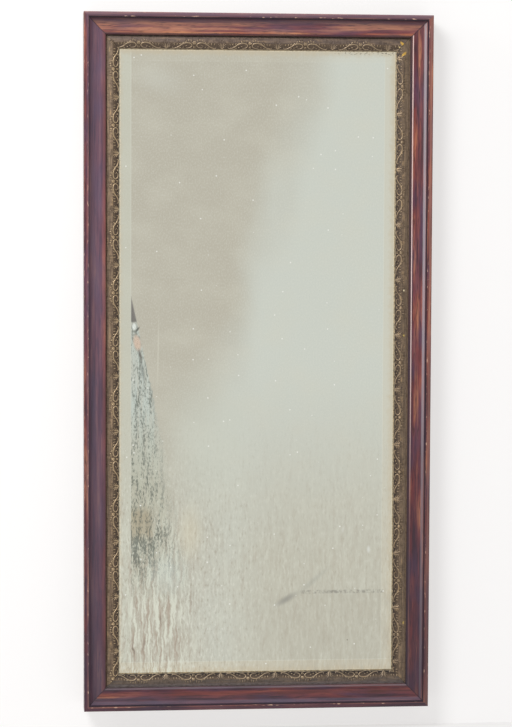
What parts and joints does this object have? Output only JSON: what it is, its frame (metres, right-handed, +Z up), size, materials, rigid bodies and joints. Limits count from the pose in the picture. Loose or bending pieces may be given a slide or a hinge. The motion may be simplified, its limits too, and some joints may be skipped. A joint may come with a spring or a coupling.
{
  "type": "wall mirror",
  "caption": "Tall rectangular wall mirror: scooped dark oak frame with mitred corners, gilt scroll-ornament liner, bevelled aged silvered plate, boarded back and ring hangers.",
  "frame": {"origin": "on the back plane of the frame, midway between the two hanging rings, at the height where the wall hooks bear", "axes": "+X to the right of a viewer who faces the mirror, +Y out of the back towards the wall, +Z up"},
  "size_m": [0.5588, 0.0439, 1.1176],
  "materials": {
    "oak": "dark red-brown stain under old satin varnish",
    "gilt_liner": "worn antique gilding on gesso",
    "gilt_scrolls": "worn antique gilding on pressed composition",
    "silvered_glass": "bevelled plate with aged silvering",
    "pine": "bare aged softwood",
    "nail_steel": "dull oxidised cut nails",
    "hanger_steel": "plated steel, a little tarnished"
  },
  "bodies": {
    "mirror": {"top_rail": "oak", "bottom_rail": "oak", "left_stile": "oak", "right_stile": "oak", "liner_top": "gilt_liner", "liner_bottom": "gilt_liner", "liner_left": "gilt_liner", "liner_right": "gilt_liner", "scrolls_top": "gilt_scrolls", "scrolls_bottom": "gilt_scrolls", "scrolls_left": "gilt_scrolls", "scrolls_right": "gilt_scrolls", "mirror_plate": "silvered_glass", "glass_blocks": "pine", "backboard_1": "pine", "backboard_2": "pine", "backboard_3": "pine", "backboard_nails": "nail_steel", "liner_brads": "nail_steel", "mitre_nails": "nail_steel", "hanger_strap_left": "hanger_steel", "hanger_strap_right": "hanger_steel", "hanger_screws": "hanger_steel"},
    "ring_left": {"hanger_ring_left": "hanger_steel"},
    "ring_right": {"hanger_ring_right": "hanger_steel"}
  },
  "joints": [
    {"name": "ring_left_swing", "type": "hinge", "parent": "mirror", "child": "ring_left", "pos_m": [-0.2639, 0.00288, -0.01347], "axis": [-1, 0, 0], "range_deg": [0, 176]},
    {"name": "ring_right_swing", "type": "hinge", "parent": "mirror", "child": "ring_right", "pos_m": [0.2639, 0.00288, -0.01347], "axis": [-1, 0, 0], "range_deg": [0, 176]}
  ]
}
